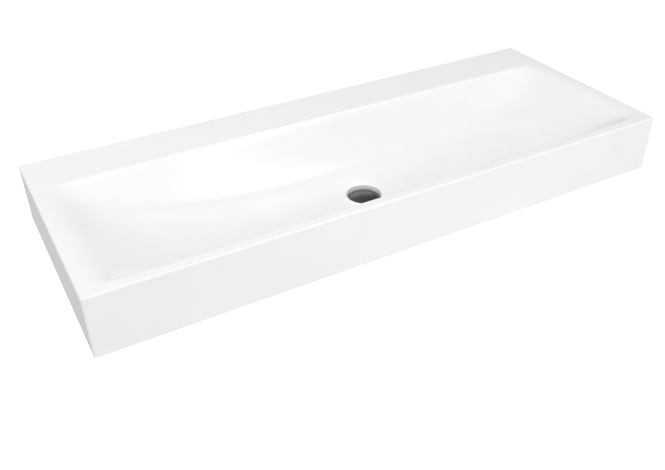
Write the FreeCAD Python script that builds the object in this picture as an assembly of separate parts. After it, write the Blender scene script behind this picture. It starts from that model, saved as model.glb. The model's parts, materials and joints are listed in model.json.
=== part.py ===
import FreeCAD, Part
import math
import os

# A wall-hung washbasin of enamelled steel sheet, with its wall brackets and its push-open waste.
# Millimetres. +X is right as seen from the front, +Y runs into the wall and +Z is up.
# The origin is on the wall plane, midway between the two wall fixings.

# Basin sheet
basin_length = 1200.0
basin_depth = 460.0
apron_height = 120.0
sheet = 2.5
corner_radius = 4.0
inner_corner_radius = 1.5
top_edge_radius = 2.5
return_lip = 12.0
fixing_drop = 55.0

# Bowl: a trough with steep long walls, whose ends rise like a hammock
ledge_depth = 105.0
front_rim = 18.0
end_rim = 18.0
drain_forward = 6.5
edge_roll = 3.0
end_roll = 22.0
level_margin = 10.0
end_shoulder_share = 0.165
wall_shoulder_share = 0.35
end_run_shares = (0.116, 0.26, 0.472, 0.717)
end_fall_shares = (0.22, 0.505, 0.74, 0.915)
rear_run_shares = (0.1, 0.22, 0.45, 0.72)
rear_fall_shares = (0.05, 0.27, 0.62, 0.9)
front_run_shares = (0.1, 0.2, 0.4, 0.68)
front_fall_shares = (0.05, 0.3, 0.68, 0.93)
end_spread_share = 0.27
wall_spread_share = 0.75
spline_degree = 3

# Drain recess
recess_radius = 35.0
recess_depth = 19.5
recess_edge_radius = 2.0
recess_floor_radius = 3.0
waste_hole_clearance = 1.5

# Wall fixings
fixing_spacing = 280.0
fixing_bore_radius = 5.25
bush_wall = 2.75
bush_flange_radius = 15.0
bush_flange = 3.0
bush_clearance = 0.2
bracket_width = 90.0
bracket_height = 76.0
bracket_sheet = 4.0
bracket_flange = 24.0
bracket_above_fixing = 42.0
bracket_corner_radius = 6.0
stud_radius = 3.0
stud_spacing = 50.0
stud_rise = 26.0
stud_tip = 2.5
stud_clearance = 0.3
stud_washer_radius = 6.0
stud_washer = 1.6
stud_nut_flats = 10.0
stud_nut = 5.0
thread_clearance = 0.05

# Damping pads under the bowl
pad_length = 290.0
pad_width = 170.0
pad_thickness = 2.0
pad_from_drain = 90.0
pad_corner_radius = 15.0
glue_line = 0.3

# Waste body and what clamps it
tail_radius = 20.955
tail_bore_radius = 18.0
tail_length = 74.0
tail_chamfer = 1.2
spare_thread = 2.0
thread_relief = 3.0
thread_relief_depth = 1.5
flange_clearance = 2.5
flange_thickness = 1.5
flange_edge_radius = 0.8
throat_radius = 4.5
hub_wall = 3.45
hub_height = 9.0
arm_width = 3.0
arm_height = 7.0
arm_count = 3
flange_seal_thickness = 1.5
flange_seal_from_hole = 1.2
clamp_ring_radius = 29.0
under_seal_thickness = 4.0
slip_washer_thickness = 2.0
ring_clearance = 0.3
back_nut_flats = 54.0
back_nut_height = 9.0

# Push-open cartridge
cartridge_radius = 6.0
cartridge_head_flats = 14.0
cartridge_head = 3.0
cartridge_bore_radius = 4.0
cartridge_roof = 1.5
end_plug_disc = 1.5
end_plug_spigot = 3.0
spring_wire_radius = 0.4
spring_turns = 7
spring_seat = 0.1

# Plug
plug_travel = 5.5
plug_closed_gap = 0.5
seal_closed_gap = 0.2
cap_inset = 0.9
cap_edge = 2.0
cap_rise = 3.0
cap_edge_radius = 0.6
cap_boss_radius = 7.0
cap_boss_drop = 6.0
cap_boss_clearance = 1.5
cap_socket_depth = 7.0
plug_seal_inset = 5.6
plug_seal_width = 6.0
plug_seal_thickness = 2.0
seal_clearance = 0.2
stem_radius = 2.0
stem_head_clearance = 0.4
stem_head = 3.0
stem_pin_radius = 1.5
stem_pin = 5.0
stem_pin_clearance = 3.8
stop_gap = 0.2
index_ring_height = 3.0
index_tooth_count = 4
index_tooth_height = 1.2
running_clearance = 0.05

# How far a cutting shape runs past what it cuts
overrun = 5.0

# Levels and places worked out from the sizes above
rim_level = fixing_drop
apron_foot = rim_level - apron_height
bowl_rear = -ledge_depth
bowl_front = front_rim - basin_depth
drain_y = (bowl_rear + bowl_front) / 2 - drain_forward
recess_floor = apron_foot + sheet
bowl_floor = recess_floor + recess_depth
bowl_depth = rim_level - bowl_floor
waste_hole_radius = tail_radius + waste_hole_clearance
flange_under = recess_floor + flange_seal_thickness
flange_top = flange_under + flange_thickness
flange_radius = recess_radius - flange_clearance
tail_end = flange_under - tail_length
recess_foot = recess_floor - sheet
slip_top = recess_foot - under_seal_thickness
nut_top = slip_top - slip_washer_thickness
relief_top = nut_top - back_nut_height - spare_thread
relief_foot = relief_top - thread_relief
cap_radius = flange_radius - cap_inset
plug_seal_radius = cap_radius - plug_seal_inset
cap_foot = flange_top + plug_closed_gap + plug_travel
seal_foot = flange_top + seal_closed_gap + plug_travel
boss_foot = cap_foot - cap_boss_drop
hub_top = boss_foot - plug_travel - cap_boss_clearance - cartridge_head
hub_foot = hub_top - hub_height
cartridge_ceiling = hub_top - cartridge_roof
stem_head_radius = cartridge_bore_radius - stem_head_clearance
stem_head_top = cartridge_ceiling - stop_gap
stem_head_foot = stem_head_top - stem_head
index_ring_foot = stem_head_foot - index_ring_height
stem_foot = index_ring_foot - stem_pin
spring_radius = (stem_pin_radius + cartridge_bore_radius) / 2
spring_floor = stem_foot - plug_travel - stem_pin_clearance
cartridge_foot = spring_floor - end_plug_spigot
bush_radius = fixing_bore_radius + bush_wall
bracket_face = -sheet - bracket_sheet
bracket_top = bracket_above_fixing
bracket_foot = bracket_top - bracket_height
fixing_places = (-fixing_spacing / 2, fixing_spacing / 2)

UP = FreeCAD.Vector(0, 0, 1)
TO_ROOM = FreeCAD.Vector(0, -1, 0)


def point(x, y, z):
    return FreeCAD.Vector(x, y, z)


def on_drain_axis(z):
    """The point of the drain's axis at a level."""
    return point(0, drain_y, z)


def disc(radius, foot, top):
    """A solid cylinder on the drain's axis."""
    return Part.makeCylinder(radius, top - foot, on_drain_axis(foot), UP)


def ring(outer, inner, foot, top):
    """A flat ring on the drain's axis."""
    bore = disc(inner, foot - overrun, top + overrun)
    return disc(outer, foot, top).cut(bore)


def peg(radius, start, length):
    """A solid cylinder that reaches from a point towards the room."""
    return Part.makeCylinder(radius, length, start, TO_ROOM)


def hexagon(flats, start, reach):
    """A hexagonal prism from a point along a vector square to X, given its size across flats."""
    corner = flats / 2 / math.cos(math.pi / 6)
    across = point(1, 0, 0)
    other = across.cross(reach).normalize()
    turns = [math.radians(60 * step) for step in range(7)]
    outline = [start + (across * math.cos(turn) + other * math.sin(turn)) * corner for turn in turns]
    return Part.Face(Part.makePolygon(outline)).extrude(reach)


def turned(outline):
    """The solid that a closed outline of edges in the drain's XZ plane sweeps round the drain's axis."""
    return Part.Face(Part.Wire(outline)).revolve(on_drain_axis(0), UP, 360)


def section(radius, z):
    """A point of a turned outline."""
    return point(radius, drain_y, z)


def line(start, end):
    return Part.LineSegment(start, end).toShape()


def arc(start, middle, end):
    return Part.Arc(start, middle, end).toShape()


def quarter(start, end, centre):
    """The quarter circle from start to end round a centre."""
    radius = (start - centre).Length
    way = (start - centre) + (end - centre)
    return arc(start, centre + way.multiply(radius / way.Length), end)


def slab(low, high, radius):
    """An upright block between two corners, with rounded upright edges."""
    size = high - low
    block = Part.makeBox(size.x, size.y, size.z, low)
    upright = [edge for edge in block.Edges if abs(edge.tangentAt(edge.FirstParameter).z) > 0.5]
    return block.makeFillet(radius, upright)


def clamped_knots(pole_count):
    """Knots and multiplicities of a curve with evenly spaced spans that starts and ends on its poles."""
    spans = pole_count - spline_degree
    return list(range(spans + 1)), [spline_degree + 1] + [1] * (spans - 1) + [spline_degree + 1]


def half_profile(reach, roll, shoulder_share, run_shares, fall_shares, spread):
    """Poles of half a profile, from its edge to the level floor: distance from the drain and fall share."""
    level = recess_radius + level_margin
    shoulder = level + (reach - level) * shoulder_share
    poles = [(reach + spread, 0), (reach + spread - roll, 0)]
    for run, fall in zip(run_shares, fall_shares):
        poles.append((reach - (reach - shoulder) * run + spread * (1 - fall ** 2), fall))
    return poles + [(shoulder, 1), (level, 1)]


def lengthwise_profile(spread):
    """Poles along X: place, and fall as a share of the bowl's depth."""
    reach = basin_length / 2 - end_rim
    half = half_profile(reach, end_roll, end_shoulder_share, end_run_shares, end_fall_shares, spread)
    return [(-x, fall) for x, fall in half] + half[::-1]


def crosswise_profile(spread):
    """Poles along Y, from front to rear: place, and fall as a share of the local depth."""
    front = half_profile(drain_y - bowl_front, edge_roll, wall_shoulder_share,
                         front_run_shares, front_fall_shares, spread)
    rear = half_profile(bowl_rear - drain_y, edge_roll, wall_shoulder_share,
                        rear_run_shares, rear_fall_shares, spread)
    return [(drain_y - y, fall) for y, fall in front] + [(drain_y + y, fall) for y, fall in rear[::-1]]


def bowl_surface(drop, thickness):
    """The bowl's inner surface, lowered by drop and spread on its slopes to keep a thickness there."""
    along = lengthwise_profile(thickness * end_spread_share)
    across = crosswise_profile(thickness * wall_spread_share)
    poles = [[point(x, y, rim_level - drop - bowl_depth * length_fall * cross_fall)
              for y, cross_fall in across] for x, length_fall in along]
    along_knots, along_mults = clamped_knots(len(along))
    across_knots, across_mults = clamped_knots(len(across))
    surface = Part.BSplineSurface()
    surface.buildFromPolesMultsKnots(poles, along_mults, across_mults, along_knots, across_knots,
                                     False, False, spline_degree, spline_degree)
    return surface


def with_bowl(block, top, surface):
    """A block whose flat top gets the bowl: the top face is opened along the bowl's edge and sewn to it."""
    bowl = surface.toShape()
    lid = [face for face in block.Faces if face.BoundBox.ZMin > top - sheet / 2][0]
    deck = Part.makeFace([lid.OuterWire, bowl.OuterWire], "Part::FaceMakerBullseye")
    rest = [face for face in block.Faces if not face.isSame(lid)]
    skin = Part.Shell(rest + [deck, bowl])
    skin.sewShape()
    return Part.Solid(skin)


def basin_blank():
    """The basin as a full block with the bowl in its top."""
    half = basin_length / 2
    block = slab(point(-half, -basin_depth, apron_foot), point(half, 0, rim_level), corner_radius)
    top_edges = [edge for edge in block.Edges if edge.BoundBox.ZMin > rim_level - sheet / 2]
    return with_bowl(block.makeFillet(top_edge_radius, top_edges), rim_level, bowl_surface(0, 0))


def basin_hollow():
    """The space under the sheet, down to the return lips, and the opening between the lips."""
    half = basin_length / 2 - sheet
    low = point(-half, sheet - basin_depth, apron_foot + sheet)
    high = point(half, -sheet, rim_level - sheet)
    block = slab(low, high, inner_corner_radius)
    space = with_bowl(block, rim_level - sheet, bowl_surface(sheet, sheet))
    lip = point(return_lip, return_lip, 0)
    mouth_low = low + lip - point(0, 0, sheet + overrun)
    mouth_high = point(high.x, high.y, low.z + sheet) - lip
    return space, slab(mouth_low, mouth_high, corner_radius)


def fixing_holes():
    """Holes through the rear skirt for the bushes."""
    depth = sheet + 2 * overrun
    return [peg(bush_radius + bush_clearance, point(x, overrun, 0), depth) for x in fixing_places]


def basin_shell():
    """The pressing: the blank hollowed from below, with the drain recess and the holes through it."""
    space, mouth = basin_hollow()
    shell = basin_blank().cut(space).cut(mouth)
    cup = disc(recess_radius + sheet, recess_floor - sheet, bowl_floor - sheet / 2)
    shell = shell.fuse(cup).cut(disc(recess_radius, recess_floor, bowl_floor + overrun))
    shell = shell.makeFillet(recess_edge_radius, recess_edges(shell, bowl_floor))
    shell = shell.makeFillet(recess_floor_radius, recess_edges(shell, recess_floor))
    shell = shell.cut(disc(waste_hole_radius, recess_floor - sheet - overrun, recess_floor + overrun))
    return shell.cut(Part.makeCompound(fixing_holes()))


def recess_edges(shell, level):
    """The edges of the recess's own wall at a level."""
    def is_recess(edge):
        middle = edge.valueAt((edge.FirstParameter + edge.LastParameter) / 2) - on_drain_axis(level)
        return abs(middle.z) < sheet / 2 and abs(math.hypot(middle.x, middle.y) - recess_radius) < sheet / 2
    return [edge for edge in shell.Edges if is_recess(edge)]


def wall_bracket(x):
    """A folded plate on the inside of the rear skirt, with a flange along each side."""
    half = bracket_width / 2
    corner = point(x - half, bracket_face, bracket_foot)
    plate = Part.makeBox(bracket_width, bracket_sheet, bracket_height, corner)
    sides = []
    for left in (x - half, x + half - bracket_sheet):
        low = point(left, bracket_face - bracket_flange, bracket_foot)
        side = Part.makeBox(bracket_sheet, bracket_flange + bracket_sheet, bracket_height, low)
        free = [edge for edge in side.Edges
                if edge.BoundBox.YMax < bracket_face and edge.BoundBox.XLength > bracket_sheet / 2]
        sides.append(side.makeFillet(bracket_corner_radius, free))
    body = plate.multiFuse(sides).removeSplitter()
    depth = bracket_sheet + 2 * overrun
    holes = [peg(bush_radius + bush_clearance, point(x, overrun - sheet, 0), depth)]
    for stud in stud_places(x):
        holes.append(peg(stud_radius + stud_clearance, stud + point(0, overrun, 0), depth))
    return body.cut(Part.makeCompound(holes))


def stud_places(x):
    """Where the studs of one bracket stand on the rear skirt."""
    return [point(x + side * stud_spacing / 2, -sheet, stud_rise) for side in (-1, 1)]


def stud_parts():
    """Weld studs, washers and nuts of both brackets, as groups of separate solids."""
    studs, washers, nuts = [], [], []
    washer_face = point(0, -bracket_sheet, 0)
    nut_face = washer_face - point(0, stud_washer, 0)
    length = bracket_sheet + stud_washer + stud_nut + stud_tip
    for place in [stud for x in fixing_places for stud in stud_places(x)]:
        studs.append(peg(stud_radius, place, length))
        bore = peg(stud_radius + thread_clearance, place, length + overrun)
        washers.append(peg(stud_washer_radius, place + washer_face, stud_washer).cut(bore))
        nuts.append(hexagon(stud_nut_flats, place + nut_face, TO_ROOM * stud_nut).cut(bore))
    return studs, washers, nuts


def wall_bushes():
    """Flanged bushes through bracket and skirt, flush with the wall plane."""
    bushes = []
    length = sheet + bracket_sheet
    for x in fixing_places:
        sleeve = peg(bush_radius, point(x, 0, 0), length)
        collar = peg(bush_flange_radius, point(x, -length, 0), bush_flange)
        bore = peg(fixing_bore_radius, point(x, overrun, 0), length + bush_flange + 2 * overrun)
        bushes.append(sleeve.fuse(collar).cut(bore).removeSplitter())
    return bushes


def damping_pad(side):
    """A sheet glued to the underside of the bowl, left (-1) or right (1) of the drain."""
    layer = bowl_surface(sheet + glue_line, sheet).toShape().extrude(point(0, 0, -pad_thickness))
    near, far = sorted(side * x for x in (pad_from_drain, pad_from_drain + pad_length))
    low = point(near, drain_y - pad_width / 2, bowl_floor - sheet - glue_line - pad_thickness - overrun)
    high = point(far, drain_y + pad_width / 2, rim_level)
    return layer.common(slab(low, high, pad_corner_radius))


def waste_body():
    """Flange, throat and threaded tail in one turned piece, with a bridge that carries the cartridge.

    A thread relief parts the nut's thread from the free one, on which the trap goes.
    """
    throat_centre = section(tail_bore_radius + throat_radius, flange_top - throat_radius)
    throat_top = section(tail_bore_radius + throat_radius, flange_top)
    throat_foot = section(tail_bore_radius, flange_top - throat_radius)
    edge_centre = section(flange_radius - flange_edge_radius, flange_top - flange_edge_radius)
    edge_top = section(flange_radius - flange_edge_radius, flange_top)
    edge_foot = section(flange_radius, flange_top - flange_edge_radius)
    rim = section(flange_radius, flange_under)
    neck = section(tail_radius, flange_under)
    relief_radius = tail_radius - thread_relief_depth
    nut_thread_end = section(tail_radius, relief_top)
    relief_start = section(relief_radius, relief_top)
    relief_end = section(relief_radius, relief_foot)
    trap_thread_end = section(tail_radius, relief_foot)
    tail_side = section(tail_radius, tail_end + tail_chamfer)
    tail_outer = section(tail_radius - tail_chamfer, tail_end)
    tail_inner = section(tail_bore_radius, tail_end)
    body = turned([
        line(tail_inner, throat_foot),
        quarter(throat_foot, throat_top, throat_centre),
        line(throat_top, edge_top),
        quarter(edge_top, edge_foot, edge_centre),
        line(edge_foot, rim),
        line(rim, neck),
        line(neck, nut_thread_end),
        line(nut_thread_end, relief_start),
        line(relief_start, relief_end),
        line(relief_end, trap_thread_end),
        line(trap_thread_end, tail_side),
        line(tail_side, tail_outer),
        line(tail_outer, tail_inner),
    ])
    hub_bore = cartridge_radius + thread_clearance
    hub_radius = hub_bore + hub_wall
    bridge = [ring(hub_radius, hub_bore, hub_foot, hub_top)]
    wall_middle = (tail_radius + tail_bore_radius) / 2
    hub_middle = (hub_radius + hub_bore) / 2
    for step in range(arm_count):
        arm = Part.makeBox(wall_middle - hub_middle, arm_width, arm_height,
                           point(hub_middle, drain_y - arm_width / 2, hub_foot))
        bridge.append(arm.rotate(on_drain_axis(0), UP, 360 * step / arm_count))
    return body.multiFuse(bridge).removeSplitter()


def cartridge_body():
    """Hexagon head on the bridge, threaded barrel through it, guide hole above and spring bore below."""
    head = hexagon(cartridge_head_flats, on_drain_axis(hub_top), UP * cartridge_head)
    barrel = disc(cartridge_radius, cartridge_foot, hub_top)
    guide = disc(stem_radius + running_clearance, cartridge_foot, hub_top + cartridge_head + overrun)
    bore = disc(cartridge_bore_radius, cartridge_foot - overrun, cartridge_ceiling)
    return head.fuse(barrel).cut(guide.fuse(bore)).removeSplitter()


def cartridge_end_plug():
    """Disc under the barrel with a spigot that carries the spring."""
    base = disc(cartridge_radius, cartridge_foot - end_plug_disc, cartridge_foot)
    spigot = disc(cartridge_bore_radius - thread_clearance, cartridge_foot, spring_floor)
    return base.fuse(spigot).removeSplitter()


def biarc(start, start_way, end, end_way):
    """Two arcs that leave start and reach end along given unit directions and meet smoothly."""
    chord = end - start
    ways = start_way + end_way
    bend = 4 - ways.dot(ways)
    along = chord.dot(ways)
    reach = (math.sqrt(along ** 2 + bend * chord.dot(chord)) - along) / bend
    first_corner = start + start_way * reach
    last_corner = end - end_way * reach
    joint = (first_corner + last_corner) * 0.5
    return [corner_arc(start, first_corner, joint), corner_arc(joint, last_corner, end)]


def corner_arc(start, corner, end):
    """The arc that touches both legs of a corner at their ends."""
    middle = (start + end) * 0.5
    half = (end - start).Length / 2
    rise = (corner - middle).Length
    bow = half * math.tan(math.atan2(rise, half) / 2)
    return arc(start, middle + (corner - middle) * (bow / rise), end)


def cartridge_spring():
    """Compression spring between the end plug and the index ring, wound in quarter turns."""
    foot = spring_floor + spring_wire_radius + spring_seat
    height = index_ring_foot - spring_wire_radius - spring_seat - foot
    climb = height / (2 * math.pi * spring_turns)
    rise = math.atan2(climb, spring_radius)

    def place(turn):
        return on_drain_axis(foot + climb * turn) + point(math.cos(turn), math.sin(turn), 0) * spring_radius

    def way(turn):
        return point(-math.sin(turn), math.cos(turn), 0) * math.cos(rise) + UP * math.sin(rise)

    quarters = [math.pi / 2 * step for step in range(4 * spring_turns + 1)]
    edges = []
    for turn, next_turn in zip(quarters, quarters[1:]):
        edges += biarc(place(turn), way(turn), place(next_turn), way(next_turn))
    wire_section = Part.Wire(Part.makeCircle(spring_wire_radius, place(0), way(0)))
    print("gap between spring turns", round(height / spring_turns - 2 * spring_wire_radius, 2))
    return Part.Wire(edges).makePipeShell([wire_section], True, False)


def index_ring():
    """Ring under the stem's head, with slanted teeth round its lower edge."""
    body = ring(stem_head_radius, stem_pin_radius + thread_clearance, index_ring_foot, stem_head_foot)
    pitch = 2 * math.pi * stem_head_radius / index_tooth_count
    notch = Part.Face(Part.makePolygon([
        section(0, index_ring_foot),
        section(0, index_ring_foot) + point(0, pitch / 2, 0),
        section(0, index_ring_foot + index_tooth_height),
        section(0, index_ring_foot),
    ])).extrude(point(stem_head_radius + overrun, 0, 0))
    for step in range(index_tooth_count):
        cut = notch.copy()
        cut.rotate(on_drain_axis(0), UP, 360 * step / index_tooth_count)
        body = body.cut(cut)
    return body


def plunger_stem():
    """Rod from the cap's socket through the guide, with a head that the spring lifts and a pin in it."""
    rod = disc(stem_radius, stem_head_top, boss_foot + cap_socket_depth)
    head = disc(stem_head_radius, stem_head_foot, stem_head_top)
    pin = disc(stem_pin_radius, stem_foot, stem_head_foot)
    return rod.multiFuse([head, pin]).removeSplitter()


def plug_cap():
    """Domed cap with a groove for its seal and a socketed boss for the stem."""
    cap_top = cap_foot + cap_edge
    crown = cap_top + cap_rise
    bow = (cap_radius ** 2 + cap_rise ** 2) / (2 * cap_rise)
    half_way = cap_radius / 2
    dome_half = section(half_way, crown - bow + math.sqrt(bow ** 2 - half_way ** 2))
    dome = turned([
        line(section(0, cap_foot), section(cap_radius, cap_foot)),
        line(section(cap_radius, cap_foot), section(cap_radius, cap_top)),
        arc(section(cap_radius, cap_top), dome_half, section(0, crown)),
        line(section(0, crown), section(0, cap_foot)),
    ])
    level_edges = [edge for edge in dome.Edges if edge.BoundBox.ZLength < cap_edge / 2]
    rim_edges = [edge for edge in level_edges if edge.BoundBox.XLength > cap_radius]
    dome = dome.makeFillet(cap_edge_radius, rim_edges)
    boss = disc(cap_boss_radius, boss_foot, cap_foot)
    groove = ring(plug_seal_radius + seal_clearance, plug_seal_radius - plug_seal_width - seal_clearance,
                  cap_foot - overrun, seal_foot + plug_seal_thickness)
    socket = disc(stem_radius + running_clearance, boss_foot - overrun, boss_foot + cap_socket_depth)
    return dome.fuse(boss).cut(groove).cut(socket).removeSplitter()


def hung_pieces():
    """The basin and what holds it to the wall."""
    studs, washers, nuts = stud_parts()
    left, right = fixing_places
    return {
        "basin_shell": basin_shell(),
        "left_wall_bracket": wall_bracket(left),
        "right_wall_bracket": wall_bracket(right),
        "bracket_studs": Part.makeCompound(studs),
        "bracket_washers": Part.makeCompound(washers),
        "bracket_nuts": Part.makeCompound(nuts),
        "wall_bushes": Part.makeCompound(wall_bushes()),
        "left_damping_pad": damping_pad(-1),
        "right_damping_pad": damping_pad(1),
    }


def waste_pieces():
    """The waste, from its flange down, and the plug in its open place."""
    tail_hole = tail_radius + ring_clearance
    seal_outer = recess_radius - recess_floor_radius - ring_clearance
    back_nut = hexagon(back_nut_flats, on_drain_axis(nut_top), UP * -back_nut_height)
    return {
        "waste_body": waste_body(),
        "flange_seal": ring(seal_outer, waste_hole_radius + flange_seal_from_hole,
                            recess_floor, flange_under),
        "under_seal": ring(clamp_ring_radius, tail_hole, slip_top, recess_foot),
        "slip_washer": ring(clamp_ring_radius, tail_hole, nut_top, slip_top),
        "back_nut": back_nut.cut(disc(tail_radius + thread_clearance, tail_end, recess_foot)),
        "cartridge_body": cartridge_body(),
        "cartridge_end_plug": cartridge_end_plug(),
        "cartridge_spring": cartridge_spring(),
        "index_ring": index_ring(),
        "plunger_stem": plunger_stem(),
        "plug_cap": plug_cap(),
        "plug_seal": ring(plug_seal_radius, plug_seal_radius - plug_seal_width,
                          seal_foot, seal_foot + plug_seal_thickness),
    }


os.makedirs("parts", exist_ok=True)
for node, shape in {**hung_pieces(), **waste_pieces()}.items():
    shape.exportStep("parts/" + node + ".step")
    print(node, "solids", len(shape.Solids), "volume", round(shape.Volume, 1), "valid", shape.isValid())
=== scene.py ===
"""The looks of a wall-hung washbasin, built around its packed construction.

Metres, +Z up. The wall is the plane y = 0, the room lies towards -Y, and the drain's axis is upright.
"""

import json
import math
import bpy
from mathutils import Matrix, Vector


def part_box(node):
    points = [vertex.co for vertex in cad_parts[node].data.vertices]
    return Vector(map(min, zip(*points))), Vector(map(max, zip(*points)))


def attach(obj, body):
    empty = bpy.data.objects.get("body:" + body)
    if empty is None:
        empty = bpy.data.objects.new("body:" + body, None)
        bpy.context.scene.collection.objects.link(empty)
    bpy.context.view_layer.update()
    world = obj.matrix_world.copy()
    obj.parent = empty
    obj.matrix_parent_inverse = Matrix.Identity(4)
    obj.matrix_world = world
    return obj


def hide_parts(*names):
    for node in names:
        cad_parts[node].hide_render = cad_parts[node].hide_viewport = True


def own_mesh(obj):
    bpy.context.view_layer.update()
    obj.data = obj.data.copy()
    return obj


bl_info = {
    "name": "Wall-hung washbasin",
    "version": (1, 0, 0),
    "blender": (4, 5, 0),
    "location": "View3D > Sidebar > Washbasin",
    "description": "Models an enamelled washbasin, its wall fixings and its push-open waste",
    "category": "Add Mesh",
}

import bmesh
import bpy
from bpy.props import FloatProperty, FloatVectorProperty, IntProperty, PointerProperty
from mathutils import Matrix, Vector

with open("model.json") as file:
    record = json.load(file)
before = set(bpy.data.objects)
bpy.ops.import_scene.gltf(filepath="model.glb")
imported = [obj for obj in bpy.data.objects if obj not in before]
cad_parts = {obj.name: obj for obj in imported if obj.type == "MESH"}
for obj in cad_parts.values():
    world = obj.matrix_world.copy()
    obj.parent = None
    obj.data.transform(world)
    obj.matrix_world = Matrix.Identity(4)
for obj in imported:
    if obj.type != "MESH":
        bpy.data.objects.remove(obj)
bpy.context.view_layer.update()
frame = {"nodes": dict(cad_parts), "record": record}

MM = 0.001
UP = Vector((0, 0, 1))
ALONG_WALL = Vector((1, 0, 0))
TO_ROOM = Vector((0, -1, 0))

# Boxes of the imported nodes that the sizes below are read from
SHELL_LOW, SHELL_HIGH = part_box("basin_shell")
WASTE_LOW, WASTE_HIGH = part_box("waste_body")
NUT_LOW, NUT_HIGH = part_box("back_nut")
CAP_LOW, CAP_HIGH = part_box("plug_cap")
PLUG_SEAL_LOW, PLUG_SEAL_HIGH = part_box("plug_seal")
SPRING_LOW, SPRING_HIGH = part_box("cartridge_spring")
BRACKET_LOW, BRACKET_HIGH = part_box("left_wall_bracket")
STUD_LOW, STUD_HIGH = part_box("bracket_studs")
STUD_NUT_LOW, STUD_NUT_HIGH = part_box("bracket_nuts")
STUD_WASHER_LOW, STUD_WASHER_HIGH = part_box("bracket_washers")
BUSH_LOW, BUSH_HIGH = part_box("wall_bushes")
MOUNTS = {mount["name"]: mount for mount in frame["record"]["mounts"]}
WASTE_MIDDLE = (WASTE_LOW + WASTE_HIGH) / 2
DRAIN = Vector((WASTE_MIDDLE.x, WASTE_MIDDLE.y, 0))
FIXING_SPACING = MOUNTS["wall_fixing"]["dims"]["spacing_x_mm"] * MM
FIXING_BORE = MOUNTS["wall_fixing"]["dims"]["hole_r_mm"] * MM
TAIL_RADIUS = MOUNTS["waste_outlet"]["dims"]["r_mm"] * MM

# Half profiles of the bowl, from its edge to its level floor: shares of the run and of the fall
END_RUN_SHARES = (0.116, 0.26, 0.472, 0.717)
END_FALL_SHARES = (0.22, 0.505, 0.74, 0.915)
REAR_RUN_SHARES = (0.1, 0.22, 0.45, 0.72)
REAR_FALL_SHARES = (0.05, 0.27, 0.62, 0.9)
FRONT_RUN_SHARES = (0.1, 0.2, 0.4, 0.68)
FRONT_FALL_SHARES = (0.05, 0.3, 0.68, 0.93)
END_SHOULDER_SHARE = 0.165
WALL_SHOULDER_SHARE = 0.35
SPLINE_DEGREE = 3

# How the square gap in the bowl's grid turns into the round drain
DRAIN_BLEND_SHARES = (0.35, 0.65, 0.88)

# Vertices closer than this are one: anywhere, in the sheet's tight bends and on the nuts
WELD = 0.001 * MM
BEND_WELD = 0.02 * MM
NUT_WELD = 0.005 * MM
# Edges sharper than the first angle are broken, and those gentler than the second look smooth
SHARP_EDGE = math.radians(40)
SMOOTH_EDGE = math.radians(30)
# The nuts: room round a thread, angle of the turned ends, and the blank's share of the corners' reach
THREAD_ROOM = 0.05 * MM
NUT_END_ANGLE = math.radians(30)
NUT_BLANK_SHARE = 1.1
# How far a washbasin's rim stands above the floor, in metres
RIM_HEIGHT = 0.85
WHITE = (1, 1, 1, 1)


def linear(colour):
    """The linear colour of an sRGB hex value."""
    parts = [int(colour[k:k + 2], 16) / 255 for k in (1, 3, 5)]
    return tuple(c / 12.92 if c <= 0.04045 else ((c + 0.055) / 1.055) ** 2.4 for c in parts)


def length(name, description, default):
    """A length that a user may change."""
    return FloatProperty(name=name, description=description, default=default,
                         min=0.0, precision=5, unit="LENGTH")


def level(name, description, default):
    """A height above the wall fixings that a user may change."""
    return FloatProperty(name=name, description=description, default=default, precision=5, unit="LENGTH")


def number(name, description, default, low, high):
    """A number of things that a user may change."""
    return IntProperty(name=name, description=description, default=default, min=low, max=high)


def strength(name, description, default):
    """A brightness that a user may change."""
    return FloatProperty(name=name, description=description, default=default, min=0.0)


def colour(name, description, default):
    """A colour that a user may change, given as sRGB hex."""
    return FloatVectorProperty(name=name, description=description, default=linear(default),
                               size=3, min=0.0, max=1.0, subtype="COLOR")


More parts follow.
